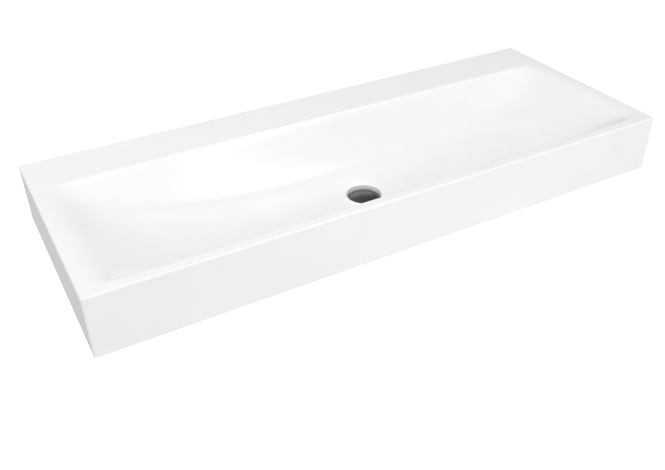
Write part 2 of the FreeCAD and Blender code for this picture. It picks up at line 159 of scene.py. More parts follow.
class WASHBASIN_PG_basin(bpy.types.PropertyGroup):
    """Sizes of the enamelled pressing and the sheets under it."""

    basin_length: length("Length", "Basin from end to end", SHELL_HIGH.x - SHELL_LOW.x)
    basin_depth: length("Depth", "Basin from the wall to its front", SHELL_HIGH.y - SHELL_LOW.y)
    rim_level: level("Rim", "Level of the flat top", SHELL_HIGH.z)
    apron_foot: level("Apron foot", "Level of the apron's lower edge", SHELL_LOW.z)
    sheet: length("Sheet", "Thickness of the enamelled sheet", 2.5 * MM)
    corner_radius: length("Corners", "Radius of the upright corners", 4 * MM)
    bend_radius: length("Bends", "Outer radius of the bends along the top and the foot", 2.5 * MM)
    support: length("Support", "Distance of the grid lines that hold a flat face up to its bend", 5 * MM)
    return_lip: length("Return lip", "Width of the lip that is folded in under the apron", 14.5 * MM)
    ledge_depth: length("Ledge", "Flat ledge along the wall", 105 * MM)
    front_rim: length("Front rim", "Flat rim along the front", 18 * MM)
    end_rim: length("End rims", "Flat rims at the ends", 18 * MM)
    wall_roll: length("Wall roll", "How gently the long walls leave the rim", 3 * MM)
    end_roll: length("End roll", "How gently the ends leave the rim", 22 * MM)
    level_margin: length("Level margin", "Level floor round the drain recess", 10 * MM)
    edge_line: length("Edge line", "Distance of the grid line outside the bowl's edge", 3 * MM)
    drain_block: length("Drain block", "Half the square of grid that the drain replaces", 58 * MM)
    recess_radius: length("Recess", "Radius of the drain recess", 35 * MM)
    recess_depth: length("Recess depth", "Depth of the recess below the bowl's floor", 19.5 * MM)
    recess_edge: length("Recess edge", "Radius of the recess's rim", 2 * MM)
    recess_fillet: length("Recess fillet", "Radius between the recess's wall and floor", 3 * MM)
    waste_hole: length("Waste hole", "Radius of the hole for the waste", TAIL_RADIUS + 1.5 * MM)
    fixing_hole: length("Fixing hole", "Radius of the holes for the wall bushes", FIXING_BORE + 2.95 * MM)
    hole_line: length("Hole line", "Distance of the grid line round the waste hole", 1 * MM)
    damping_edge: length("Damping edge", "Rounded edge of the damping sheets", 0.5 * MM)
    lines_per_span: number("Fineness", "Grid lines in each span of the bowl's profiles", 12, 2, 24)
    bend_steps: number("Bend steps", "Faces across each bend", 6, 2, 16)


class WASHBASIN_PG_fixings(bpy.types.PropertyGroup):
    """Sizes of the wall brackets, their fasteners and the bushes."""

    bracket_sheet: length("Bracket sheet", "Thickness of the folded plates", 4 * MM)
    bracket_bend: length("Bracket bend", "Outer radius of the folds", 6 * MM)
    bracket_corner: length("Bracket corners", "Radius of the flanges' free corners", 6 * MM)
    bracket_edge: length("Bracket edge", "Broken edge of the cut plates", 0.4 * MM)
    stud_spacing: length("Stud spacing", "Distance of the two studs of a bracket", 50 * MM)
    stud_pitch: length("Stud pitch", "Pitch of the M6 thread", 1 * MM)
    stud_thread: length("Stud thread", "Depth of the M6 thread", 0.55 * MM)
    stud_radius: length("Stud radius", "Outer radius of the M6 thread", 3 * MM)
    stud_room: length("Stud room", "Room round a stud in its bracket", 0.3 * MM)
    stud_nut_chamfer: length("Stud nut chamfer", "Chamfer of the stud nuts, in from their flats", 0.3 * MM)
    washer_room: length("Washer room", "Room round a stud in its washer", 0.1 * MM)
    washer_edge: length("Washer edge", "Broken edge of the washers", 0.2 * MM)
    bush_wall: length("Bush wall", "Wall of the bushes", 2.75 * MM)
    bush_flange: length("Bush flange", "Thickness of the bushes' flanges", 3 * MM)
    bush_edge: length("Bush edge", "Moulded radius of the bushes' edges", 0.6 * MM)


class WASHBASIN_PG_waste(bpy.types.PropertyGroup):
    """Sizes of the waste and what clamps it."""

    tail_bore: length("Tail bore", "Bore of the threaded tail", 18 * MM)
    tail_pitch: length("Tail pitch", "Pitch of the pipe thread, 11 to the inch", 25.4 / 11 * MM)
    tail_thread: length("Tail thread", "Depth of the pipe thread", 1.3 * MM)
    tail_chamfer: length("Tail chamfer", "Chamfer at the tail's end", 1.6 * MM)
    spare_thread: length("Spare thread", "Thread left below the back nut", 2 * MM)
    relief: length("Thread relief", "Width of the groove between the two threads", 3 * MM)
    relief_depth: length("Relief depth", "Depth of the groove between the two threads", 1.5 * MM)
    flange: length("Flange", "Thickness of the flange", 1.5 * MM)
    flange_edge: length("Flange edge", "Radius of the flange's upper edge", 0.8 * MM)
    throat: length("Throat", "Radius where the flange turns into the bore", 4.5 * MM)
    hub_radius: length("Hub", "Outer radius of the bridge's hub", 9.5 * MM)
    hub_bore: length("Hub bore", "Bore of the bridge's hub", 6.05 * MM)
    hub_height: length("Hub height", "Height of the bridge's hub", 9 * MM)
    hub_edge: length("Hub edge", "Broken edge of the bridge's hub", 0.4 * MM)
    cartridge_head: length("Cartridge head", "Height of the cartridge above the hub", 3 * MM)
    arm_count: number("Arm count", "Arms of the bridge", 3, 2, 6)
    arm_width: length("Arms", "Width of the bridge's arms", 3 * MM)
    arm_height: length("Arm height", "Height of the bridge's arms", 7 * MM)
    seal_edge: length("Seal edge", "Rounded edge of the rings", 0.45 * MM)
    seal_setback: length("Seal setback", "How far the flange seal stays back from the waste hole", 1.2 * MM)
    clamp_room: length("Clamp room", "Room round the tail in the rings below the recess", 0.3 * MM)
    nut_chamfer: length("Nut chamfer", "Chamfer of the back nut, in from its flats", 0.5 * MM)
    spring_wire: length("Spring wire", "Radius of the spring's wire", 0.4 * MM)
    spring_turns: number("Spring turns", "Turns of the spring", 7, 3, 20)


class WASHBASIN_PG_plug(bpy.types.PropertyGroup):
    """Sizes of the push-open plug."""

    cap_edge: length("Cap edge", "Height of the cap's edge", 2 * MM)
    cap_rise: length("Cap rise", "Rise of the dome above the cap's edge", 3 * MM)
    edge_radius: length("Cap edge radius", "Radius of the cap's two edges", 0.6 * MM)
    boss_radius: length("Boss", "Radius of the boss under the cap", 7 * MM)
    boss_drop: length("Boss drop", "How far the boss hangs below the cap", 6 * MM)
    seal_width: length("Seal width", "Width of the plug's seal", 6 * MM)
    seal_clearance: length("Seal clearance", "Room for the seal in its groove", 0.2 * MM)
    ring_edge: length("Seal edge", "Rounded edge of the plug's seal", 0.4 * MM)
    stem_hole: length("Stem hole", "Radius of the hole for the stem", 2.05 * MM)


class WASHBASIN_PG_colours(bpy.types.PropertyGroup):
    """Colours of the finishes."""

    enamel: colour("Enamel", "White vitreous enamel", "#F4F4F4")
    enamel_shade: colour("Enamel shade", "Faint cloudiness of the enamel", "#F2F2F2")
    chrome: colour("Chrome", "Polished chrome plate", "#B9BCC0")
    dark_chrome: colour("Dark chrome", "Satin dark chrome plate", "#7C7D7F")
    brass: colour("Brass", "Machined brass", "#B58E44")
    brass_dull: colour("Dull brass", "Brass that has lost its shine", "#96773D")
    galvanised: colour("Galvanised", "Light spangles of zinc", "#A9AEB1")
    galvanised_dark: colour("Galvanised, dark", "Dark spangles of zinc", "#82888C")
    zinc: colour("Zinc plate", "Bright zinc plate", "#BFC2C5")
    zinc_tint: colour("Zinc tint", "Passivated tint of the zinc plate", "#A8ADBA")
    polyamide: colour("Black polyamide", "Moulded bushes", "#1C1C1E")
    bitumen: colour("Bitumen", "Damping sheet", "#1B1A19")
    bitumen_felt: colour("Felt", "Felt face of the damping sheet", "#35332F")
    rubber: colour("Rubber", "Moulded seals", "#121213")
    rubber_bloom: colour("Rubber bloom", "Grey bloom on the rubber", "#242527")
    natural_plastic: colour("Natural plastic", "Uncoloured moulded plastic", "#E3E1D8")
    acetal: colour("Acetal", "Grey cartridge", "#5A5E62")
    steel_wire: colour("Steel wire", "Drawn stainless wire", "#A8ACB0")
    floor: colour("Floor", "Pale studio floor", "#BCBCBC")


class WASHBASIN_PG_stage(bpy.types.PropertyGroup):
    """The floor and the light."""

    floor_level: level("Floor", "Level of the floor, with the rim at hand height", SHELL_HIGH.z - RIM_HEIGHT)
    floor_size: length("Floor size", "Side of the floor", 14.0)
    softbox_glow: strength("Softbox", "Brightness of the softbox", 3.6)
    room_bright: strength("Room, bright side", "Light that the room sheds from its bright side", 1.3)
    room_dim: strength("Room, dim side", "Light that the room sheds from its dim side", 0.224)
    room_left: strength("Room, left", "Brightness of the room's left in the gloss", 0.3)
    room_right: strength("Room, right", "Brightness of the room's right in the gloss", 0.06)
    room_way: FloatVectorProperty(name="Bright side", description="Way to the room's bright side",
                                  default=(0.0, -0.649, 0.761), size=3, subtype="DIRECTION")


# Modelling helpers

def start_piece(name, add, **settings):
    """Adds a primitive by itself, under a name."""
    bpy.ops.object.select_all(action="DESELECT")
    add(**settings)
    piece = bpy.context.object
    piece.name = name
    piece.data.name = name
    return piece


def edit(piece):
    """Opens a piece, and only that piece, in edit mode."""
    if bpy.context.object and bpy.context.object.mode == "EDIT":
        bpy.ops.object.mode_set(mode="OBJECT")
    bpy.ops.object.select_all(action="DESELECT")
    piece.select_set(True)
    bpy.context.view_layer.objects.active = piece
    bpy.ops.object.mode_set(mode="EDIT")


def select(piece, kind, wanted):
    """Selects, in edit mode, the vertices, edges or faces that a test wants, and nothing else."""
    bpy.ops.mesh.select_mode(type=kind)
    bpy.ops.mesh.select_all(action="DESELECT")
    mesh = bmesh.from_edit_mesh(piece.data)
    for item in {"VERT": mesh.verts, "EDGE": mesh.edges, "FACE": mesh.faces}[kind]:
        if wanted(item):
            item.select_set(True)
    mesh.select_flush_mode()
    bmesh.update_edit_mesh(piece.data)


def place_selected(piece, order, places):
    """Puts the selected vertices, sorted by order, at a list of places."""
    mesh = bmesh.from_edit_mesh(piece.data)
    chosen = sorted((vertex for vertex in mesh.verts if vertex.select), key=order)
    for vertex, place in zip(chosen, places):
        vertex.co = place
    bmesh.update_edit_mesh(piece.data)


def apply_modifier(piece, kind, **settings):
    """Adds a modifier and applies it."""
    bpy.context.view_layer.objects.active = piece
    modifier = piece.modifiers.new(kind.title(), kind)
    for name, value in settings.items():
        setattr(modifier, name, value)
    bpy.ops.object.modifier_apply(modifier=modifier.name)


def merge_doubles(piece, distance=WELD, outwards=True):
    """Merges vertices that coincide and, on a shape that may be inside out, turns its faces outwards."""
    edit(piece)
    bpy.ops.mesh.select_all(action="SELECT")
    bpy.ops.mesh.remove_doubles(threshold=distance)
    if outwards:
        bpy.ops.mesh.normals_make_consistent(inside=False)
    bpy.ops.object.mode_set(mode="OBJECT")


def break_edges(piece, width, steps=2):
    """Rounds every sharp edge of a piece by a small width."""
    apply_modifier(piece, "BEVEL", width=width, segments=steps, limit_method="ANGLE",
                   angle_limit=SHARP_EDGE, use_clamp_overlap=True)


def boolean(piece, cutter, operation):
    """Cuts or trims a piece with another one, which is then removed."""
    before = len(piece.data.vertices)
    apply_modifier(piece, "BOOLEAN", object=cutter, operation=operation, solver="EXACT")
    if len(piece.data.vertices) == before:
        raise RuntimeError(f"{cutter.name} left {piece.name} as it was")
    bpy.data.objects.remove(cutter)


def finish_piece(piece, body, make, node):
    """Gives a piece its finish and its place in the frame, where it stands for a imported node."""
    bpy.ops.object.select_all(action="DESELECT")
    piece.select_set(True)
    bpy.context.view_layer.objects.active = piece
    bpy.ops.object.transform_apply(location=True, rotation=True, scale=True)
    bpy.ops.object.shade_smooth_by_angle(angle=SMOOTH_EDGE)
    piece.data.materials.append(finish(make))
    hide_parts(node)
    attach(piece, body)


def finish_node(name, make):
    """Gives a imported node, whose shape is right as it is, its finish."""
    node = frame["nodes"][name]
    node.data.materials.clear()
    node.data.materials.append(finish(make))


def arc(centre, radius, start, end, steps):
    """Points of an arc in an outline, as (radius, level), between two angles in degrees."""
    turns = [math.radians(start + (end - start) * step / steps) for step in range(steps + 1)]
    return [(centre[0] + radius * math.cos(turn), centre[1] + radius * math.sin(turn)) for turn in turns]


def turned(name, outline, centre=DRAIN, axis=UP, steps=96):
    """Draws an outline of (radius, level) points and spins it round an axis into a closed piece."""
    points = [centre + ALONG_WALL * radius + axis * height for radius, height in outline]
    piece = start_piece(name, bpy.ops.mesh.primitive_plane_add, size=MM)
    bpy.ops.object.mode_set(mode="EDIT")
    bpy.ops.mesh.select_mode(type="VERT")
    bpy.ops.mesh.select_all(action="SELECT")
    bpy.ops.mesh.merge(type="CENTER")
    bpy.ops.transform.translate(value=points[0])
    for start, end in zip(points, points[1:]):
        bpy.ops.mesh.extrude_region_move(TRANSFORM_OT_translate={"value": end - start})
    bpy.ops.mesh.select_all(action="SELECT")
    bpy.ops.mesh.spin(steps=steps, angle=math.tau, center=centre, axis=axis)
    bpy.ops.object.mode_set(mode="OBJECT")
    merge_doubles(piece)
    return piece


def ring_outline(outer, inner, foot, top):
    """Outline of a flat ring."""
    return [(inner, foot), (outer, foot), (outer, top), (inner, top), (inner, foot)]


def bore(piece, radius, start, end, centre, axis):
    """Bores a round hole along an axis, from one level to another."""
    drill = turned("drill", [(0, start), (radius, start), (radius, end), (0, end)], centre, axis, steps=48)
    boolean(piece, drill, "DIFFERENCE")


def thread(piece, centre, axis, radius, start, end, pitch, depth, nearness=0.01 * MM):
    """Sinks a helical V groove into a piece's cylindrical wall, fading out over one pitch at each end."""
    side = axis.cross(ALONG_WALL)
    for vertex in piece.data.vertices:
        reach = vertex.co - centre
        height = reach.dot(axis)
        spoke = reach - axis * height
        if start < height < end and abs(spoke.length - radius) < nearness:
            turn = math.atan2(spoke.dot(side), spoke.x) / math.tau
            groove = 1 - abs(2 * ((height / pitch - turn) % 1) - 1)
            fade = min(1, (height - start) / pitch, (end - height) / pitch)
            vertex.co -= spoke.normalized() * (depth * groove * fade)


def thread_rows(start, end, pitch, rows_per_pitch=8):
    """Levels of the rows that a threaded stretch of an outline needs."""
    count = max(1, round((end - start) / pitch * rows_per_pitch))
    return [start + (end - start) * row / count for row in range(count + 1)]


def copies(piece, steps):
    """Copies a piece within its own mesh, each copy a step away from the one before."""
    edit(piece)
    bpy.ops.mesh.select_all(action="SELECT")
    for step in steps:
        bpy.ops.mesh.duplicate_move(TRANSFORM_OT_translate={"value": step})
    bpy.ops.object.mode_set(mode="OBJECT")


def hexagon_nut(name, flats, height, bore_radius, chamfer, centre, axis):
    """A hexagon nut along an axis: a six-sided prism, turned down at both ends and bored."""
    corner = flats / math.sqrt(3)
    low, high = -corner, height + corner
    nut = turned(name, [(0, low), (corner, low), (corner, high), (0, high)], centre, axis, steps=6)
    face = flats / 2 - chamfer
    reach = NUT_BLANK_SHARE * corner
    drop = (reach - face) * math.tan(NUT_END_ANGLE)
    ends = [(0, 0), (face, 0), (reach, drop), (reach, height - drop), (face, height), (0, height)]
    boolean(nut, turned(name + "_blank", ends, centre, axis), "INTERSECT")
    mouth = bore_radius + 2 * chamfer
    hole = [(0, -chamfer), (mouth, -chamfer), (bore_radius, chamfer), (bore_radius, height - chamfer),
            (mouth, height + chamfer), (0, height + chamfer)]
    boolean(nut, turned(name + "_drill", hole, centre, axis), "DIFFERENCE")
    merge_doubles(nut, NUT_WELD, outwards=False)
    return nut


# Finishes

def link_inputs(tree, node, links):
    """Links inputs of a node to outputs of other nodes."""
    for name, (source, output) in dict(links).items():
        tree.links.new(source.outputs[output], node.inputs[name])


def add_node(tree, kind, settings=(), links=()):
    """Adds a node with its settings, and links its inputs to outputs of other nodes."""
    node = tree.nodes.new(kind)
    for name, value in dict(settings).items():
        if name == "stops":
            for stop, (place, tone) in zip(node.color_ramp.elements, value):
                stop.position = place
                stop.color = (*tone, 1)
        elif isinstance(name, int) or name in node.inputs:
            node.inputs[name].default_value = value
        else:
            setattr(node, name, value)
    link_inputs(tree, node, links)
    return node


def new_finish(name, **settings):
    """A material with a Principled shader, set up, and the object's own coordinates."""
    material = bpy.data.materials.new(name)
    material.use_nodes = True
    tree = material.node_tree
    shader = tree.nodes["Principled BSDF"]
    for socket, value in settings.items():
        shader.inputs[socket.replace("_", " ")].default_value = value
    return material, tree, shader, (add_node(tree, "ShaderNodeTexCoord"), "Object")


def follow(tree, shader, pattern, tones=(), places=(0.35, 0.65), gloss=(), relief=0.0):
    """Lets a shader's tone, roughness and relief follow a pattern, each where it is given."""
    if tones:
        tone = add_node(tree, "ShaderNodeValToRGB", {"stops": tuple(zip(places, tones))}, {"Fac": pattern})
        link_inputs(tree, shader, {"Base Color": (tone, "Color")})
    if gloss:
        least, most = gloss
        haze = add_node(tree, "ShaderNodeMapRange", {"To Min": least, "To Max": most}, {"Value": pattern})
        link_inputs(tree, shader, {"Roughness": (haze, "Result")})
    if relief:
        bump = add_node(tree, "ShaderNodeBump", {"Distance": relief}, {"Height": pattern})
        link_inputs(tree, shader, {"Normal": (bump, "Normal")})


def per(millimetres):
    """The texture scale that gives a pattern a real size."""
    return 1 / (millimetres * MM)


def vitreous_enamel(tones):
    """White glass fused to steel: a soft gloss, with a faint cloudiness and the ripple of its firing."""
    material, tree, shader, place = new_finish("vitreous_enamel", IOR=1.52)
    cloud = add_node(tree, "ShaderNodeTexNoise", {"Scale": per(90), "Detail": 3.0}, {"Vector": place})
    follow(tree, shader, (cloud, "Fac"), (tones.enamel, tones.enamel_shade), gloss=(0.2, 0.26))
    ripple = add_node(tree, "ShaderNodeTexNoise", {"Scale": per(14), "Detail": 1.0}, {"Vector": place})
    follow(tree, shader, (ripple, "Fac"), relief=0.01 * MM)
    return material


def chrome_plate(tones):
    """Polished chrome: a clear dark mirror with the faintest polishing haze."""
    tone = (*tones.chrome, 1)
    material, tree, shader, place = new_finish("chrome_plate", Metallic=1.0, Base_Color=tone)
    haze = add_node(tree, "ShaderNodeTexNoise", {"Scale": per(6), "Detail": 4.0}, {"Vector": place})
    follow(tree, shader, (haze, "Fac"), gloss=(0.04, 0.1), relief=0.003 * MM)
    return material


def dark_chrome_plate(tones):
    """Dark satin chrome: a soft grey mirror that blurs the bowl and the room together."""
    tone = (*tones.dark_chrome, 1)
    material, tree, shader, place = new_finish("dark_chrome_plate", Metallic=1.0, Base_Color=tone)
    satin = add_node(tree, "ShaderNodeTexNoise", {"Scale": per(4), "Detail": 5.0}, {"Vector": place})
    follow(tree, shader, (satin, "Fac"), gloss=(0.2, 0.32))
    return material


def machined_brass(tones):
    """Turned brass: warm metal with fine tool marks and dull patches."""
    material, tree, shader, place = new_finish("machined_brass", Metallic=1.0)
    patches = add_node(tree, "ShaderNodeTexNoise", {"Scale": per(9), "Detail": 5.0}, {"Vector": place})
    follow(tree, shader, (patches, "Fac"), (tones.brass, tones.brass_dull), gloss=(0.22, 0.42))
    # A wave turns by 20 radians in each unit of its scale. Real feed marks, 0.1 mm apart, would not show
    rings = {"bands_direction": "Z", "Scale": per(0.6) * math.tau / 20, "Distortion": 0.6}
    marks = add_node(tree, "ShaderNodeTexWave", rings, {"Vector": place})
    follow(tree, shader, (marks, "Fac"), relief=0.01 * MM)
    return material


def hot_dip_zinc(tones):
    """Galvanised sheet: crystals of zinc, each with its own grey and gloss."""
    material, tree, shader, place = new_finish("hot_dip_zinc", Metallic=1.0)
    spangle = add_node(tree, "ShaderNodeTexVoronoi", {"Scale": per(7)}, {"Vector": place})
    grey = add_node(tree, "ShaderNodeRGBToBW", links={"Color": (spangle, "Color")})
    greys = (tones.galvanised_dark, tones.galvanised)
    follow(tree, shader, (grey, "Val"), greys, places=(0.1, 0.9), gloss=(0.35, 0.6))
    crust = add_node(tree, "ShaderNodeTexNoise", {"Scale": per(1.2), "Detail": 4.0}, {"Vector": place})
    follow(tree, shader, (crust, "Fac"), relief=0.03 * MM)
    return material


def zinc_plate(tones):
    """Bright zinc plate: clean metal with a cool passivated tint."""
    material, tree, shader, place = new_finish("zinc_plate", Metallic=1.0)
    tint = add_node(tree, "ShaderNodeTexNoise", {"Scale": per(5), "Detail": 3.0}, {"Vector": place})
    follow(tree, shader, (tint, "Fac"), (tones.zinc, tones.zinc_tint), gloss=(0.2, 0.38))
    return material


def moulded_polyamide(tones):
    """Black moulded plastic: satin, with the grain of its spark-eroded tool."""
    tone = (*tones.polyamide, 1)
    material, tree, shader, place = new_finish("moulded_polyamide", Base_Color=tone, IOR=1.53)
    # A real grain of about 0.1 mm would not show
    grain = add_node(tree, "ShaderNodeTexNoise", {"Scale": per(0.5), "Detail": 3.0}, {"Vector": place})
    follow(tree, shader, (grain, "Fac"), gloss=(0.4, 0.58), relief=0.02 * MM)
    return material


def bitumen_felt(tones):
    """Bitumen sheet with a felt face: dull, fibrous and uneven."""
    material, tree, shader, place = new_finish("bitumen_felt", Roughness=0.9)
    felt = {"Scale": per(1.5), "Detail": 6.0, "Roughness": 0.7}
    fibres = add_node(tree, "ShaderNodeTexNoise", felt, {"Vector": place})
    follow(tree, shader, (fibres, "Fac"), (tones.bitumen, tones.bitumen_felt), relief=0.25 * MM)
    return material


def moulded_rubber(tones):
    """Black seal rubber: soft sheen and a little grey bloom."""
    material, tree, shader, place = new_finish("moulded_rubber", IOR=1.5)
    bloom = add_node(tree, "ShaderNodeTexNoise", {"Scale": per(4), "Detail": 4.0}, {"Vector": place})
    blacks = (tones.rubber, tones.rubber_bloom)
    follow(tree, shader, (bloom, "Fac"), blacks, gloss=(0.45, 0.7), relief=0.02 * MM)
    return material


def natural_polyethylene(tones):
    """Uncoloured moulded plastic: milky, waxy and slightly translucent."""
    tone = (*tones.natural_plastic, 1)
    material, tree, shader, place = new_finish("natural_polyethylene", Base_Color=tone, IOR=1.51,
                                               Subsurface_Weight=0.15, Subsurface_Scale=MM)
    wax = add_node(tree, "ShaderNodeTexNoise", {"Scale": per(3), "Detail": 2.0}, {"Vector": place})
    follow(tree, shader, (wax, "Fac"), gloss=(0.32, 0.48), relief=0.01 * MM)
    return material


def grey_acetal(tones):
    """Moulded acetal: smooth grey with a satin gloss."""
    tone = (*tones.acetal, 1)
    material, tree, shader, place = new_finish("grey_acetal", Base_Color=tone, IOR=1.48)
    flow = add_node(tree, "ShaderNodeTexNoise", {"Scale": per(4), "Detail": 2.0}, {"Vector": place})
    follow(tree, shader, (flow, "Fac"), gloss=(0.3, 0.45), relief=0.01 * MM)
    return material


def drawn_wire(tones):
    """Drawn stainless wire: bright, with fine streaks from the die."""
    tone = (*tones.steel_wire, 1)
    material, tree, shader, place = new_finish("drawn_wire", Metallic=1.0, Base_Color=tone)
    # Real streaks, a few hundredths of a millimetre wide, would not show
    streaks = add_node(tree, "ShaderNodeTexNoise", {"Scale": per(0.4), "Detail": 2.0}, {"Vector": place})
    follow(tree, shader, (streaks, "Fac"), gloss=(0.15, 0.3))
    return material


def finish(make):
    """A finish by its maker, made once for all the pieces that share it."""
    return bpy.data.materials.get(make.__name__) or make(bpy.context.scene.washbasin_colours)


# The enamelled pressing

def spline_at(poles, share):
    """The point of a clamped cubic spline on (place, fall) poles at a share of its spans."""
    spans = len(poles) - SPLINE_DEGREE
    place = share * spans
    span = min(int(place), spans - 1)
    knots = [min(max(knot - SPLINE_DEGREE, 0), spans) for knot in range(len(poles) + SPLINE_DEGREE + 1)]
    points = [Vector(pole) for pole in poles[span:span + SPLINE_DEGREE + 1]]
    for step in range(1, SPLINE_DEGREE + 1):
        for k in range(SPLINE_DEGREE, step - 1, -1):
            low = knots[span + k]
            high = knots[span + k + SPLINE_DEGREE + 1 - step]
            points[k] = points[k - 1].lerp(points[k], (place - low) / (high - low))
    return points[SPLINE_DEGREE]


def fall_at(poles, place, halvings=40):
    """The fall of a profile at a place along it, found by halving the spline."""
    low, high = 0.0, 1.0
    for _ in range(halvings):
        middle = (low + high) / 2
        if spline_at(poles, middle).x < place:
            low = middle
        else:
            high = middle
    return spline_at(poles, low).y


def half_profile(reach, roll, shoulder_share, run_shares, fall_shares, floor):
    """Poles of half a profile, from its edge to the level floor: distance from the drain and fall share."""
    shoulder = floor + (reach - floor) * shoulder_share
    poles = [(reach, 0), (reach - roll, 0)]
    poles += [(reach - (reach - shoulder) * run, fall) for run, fall in zip(run_shares, fall_shares)]
    return poles + [(shoulder, 1), (floor, 1)]


def bowl_profiles(sizes):
    """Poles of the bowl along X and along Y: place and fall share. Their product shapes the bowl."""
    floor = sizes.recess_radius + sizes.level_margin
    end = half_profile(sizes.basin_length / 2 - sizes.end_rim, sizes.end_roll, END_SHOULDER_SHARE,
                       END_RUN_SHARES, END_FALL_SHARES, floor)
    front = half_profile(DRAIN.y + sizes.basin_depth - sizes.front_rim, sizes.wall_roll, WALL_SHOULDER_SHARE,
                         FRONT_RUN_SHARES, FRONT_FALL_SHARES, floor)
    rear = half_profile(-sizes.ledge_depth - DRAIN.y, sizes.wall_roll, WALL_SHOULDER_SHARE,
                        REAR_RUN_SHARES, REAR_FALL_SHARES, floor)
    along = [(-x, fall) for x, fall in end] + end[::-1]
    across = [(DRAIN.y - y, fall) for y, fall in front] + [(DRAIN.y + y, fall) for y, fall in rear[::-1]]
    return along, across


def grid_lines(poles, low, high, sizes):
    """Places and falls of the grid lines from one outer edge to the other, with the bowl between."""
    count = (len(poles) - SPLINE_DEGREE) * sizes.lines_per_span
    bowl = [tuple(spline_at(poles, line / count)) for line in range(count + 1)]
    before = [(low, 0), (low + sizes.support, 0), (bowl[0][0] - sizes.edge_line, 0)]
    after = [(bowl[-1][0] + sizes.edge_line, 0), (high - sizes.support, 0), (high, 0)]
    return before + bowl + after


def bowl_level(sizes, length_fall, cross_fall):
    """The level of the bowl where its two profiles have fallen by these shares."""
    floor = sizes.apron_foot + sizes.sheet + sizes.recess_depth
    return sizes.rim_level - (sizes.rim_level - floor) * length_fall * cross_fall


def drain_turn(vertex):
    """The angle of a vertex round the drain."""
    return math.atan2(vertex.co.y - DRAIN.y, vertex.co.x - DRAIN.x)


def drain_rings(sizes, square, along, across):
    """Rings from the square gap in the grid to the drain, over its edge, down its wall and in to the hole."""
    count = len(square)
    turns = [math.atan2(place.y - DRAIN.y, place.x - DRAIN.x) for place in square]
    lead = sum(turn - math.tau * k / count for k, turn in enumerate(turns)) / count
    spokes = [Vector((math.cos(lead + math.tau * k / count), math.sin(lead + math.tau * k / count), 0))
              for k in range(count)]
    recess_floor = sizes.apron_foot + sizes.sheet
    floor = recess_floor + sizes.recess_depth
    edge_centre = (sizes.recess_radius + sizes.recess_edge, floor - sizes.recess_edge)
    fillet_centre = (sizes.recess_radius - sizes.recess_fillet, recess_floor + sizes.recess_fillet)
    rings = []
    for share in DRAIN_BLEND_SHARES:
        places = [start.lerp(DRAIN + spoke * edge_centre[0], share) for start, spoke in zip(square, spokes)]
        for place in places:
            place.z = bowl_level(sizes, fall_at(along, place.x), fall_at(across, place.y))
        rings.append(places)
    section = arc(edge_centre, sizes.recess_edge, 90, 180, sizes.bend_steps)
    section += arc(fillet_centre, sizes.recess_fillet, 0, -90, sizes.bend_steps)
    section += [(sizes.waste_hole + sizes.hole_line, recess_floor), (sizes.waste_hole, recess_floor)]
    for radius, height in section:
        rings.append([DRAIN + spoke * radius + UP * height for spoke in spokes])
    return rings


def open_drain(piece, sizes, along, across):
    """Replaces a square of the bowl's grid with the round drain recess."""
    def in_block(place):
        reach = max(abs(place.x - DRAIN.x), abs(place.y - DRAIN.y))
        return reach < sizes.drain_block
    edit(piece)
    select(piece, "FACE", lambda face: in_block(face.calc_center_median()))
    bpy.ops.mesh.delete(type="FACE")
    select(piece, "EDGE", lambda edge: edge.is_boundary and edge.verts[0].co.z < 0)
    mesh = bmesh.from_edit_mesh(piece.data)
    square = [vertex.co.copy() for vertex in sorted((v for v in mesh.verts if v.select), key=drain_turn)]
    for places in drain_rings(sizes, square, along, across):
        bpy.ops.mesh.extrude_edges_indiv()
        place_selected(piece, drain_turn, places)


def fold_apron(piece, sizes):
    """Folds the outer edge down into the apron and the rear skirt, and in again into the return lip."""
    half = sizes.basin_length / 2
    rear, front = 0.0, -sizes.basin_depth
    near = 0.1 * MM
    # How much of a normal is upright: less than this in an upright face, more than this in a level one
    upright_share, level_share = 0.1, 0.9

    def at_corner(vertex):
        return abs(abs(vertex.co.x) - half) < near and min(abs(vertex.co.y - y) for y in (rear, front)) < near

    def bend_edge(edge, way):
        faces = edge.link_faces
        upright = any(abs(face.normal.z) < upright_share for face in faces)
        lying = any(face.normal.z * way > level_share for face in faces)
        return len(faces) == 2 and upright and lying

    def on_lip(place):
        inner = half - sizes.return_lip
        x = min(max(place.x, -inner), inner)
        y = min(max(place.y, front + sizes.return_lip), rear - sizes.return_lip)
        return Vector((x, y, place.z))

    select(piece, "EDGE", lambda edge: edge.is_boundary and edge.verts[0].co.z > 0)
    apron = sizes.rim_level - sizes.apron_foot
    for drop in (sizes.support, apron - 2 * sizes.support, sizes.support):
        bpy.ops.mesh.extrude_edges_move(TRANSFORM_OT_translate={"value": (0, 0, -drop)})
    select(piece, "EDGE", lambda edge: all(at_corner(v) for v in edge.verts))
    bpy.ops.mesh.bevel(offset=sizes.corner_radius, segments=sizes.bend_steps, affect="EDGES")
    select(piece, "EDGE", lambda edge: edge.is_boundary and edge.verts[0].co.z < sizes.apron_foot + near
           and max(abs(edge.verts[0].co.x), abs(edge.verts[0].co.y - DRAIN.y)) > sizes.drain_block)
    bpy.ops.mesh.extrude_edges_indiv()
    mesh = bmesh.from_edit_mesh(piece.data)
    for vertex in mesh.verts:
        if vertex.select:
            vertex.co = on_lip(vertex.co)
    bmesh.update_edit_mesh(piece.data)
    bpy.ops.mesh.select_all(action="SELECT")
    bpy.ops.mesh.remove_doubles(threshold=WELD)
    for way, height in ((1, sizes.rim_level), (-1, sizes.apron_foot)):
        select(piece, "EDGE", lambda edge: bend_edge(edge, way) and abs(edge.verts[0].co.z - height) < near)
        bpy.ops.mesh.bevel(offset=sizes.bend_radius, segments=sizes.bend_steps, affect="EDGES")
    bpy.ops.object.mode_set(mode="OBJECT")


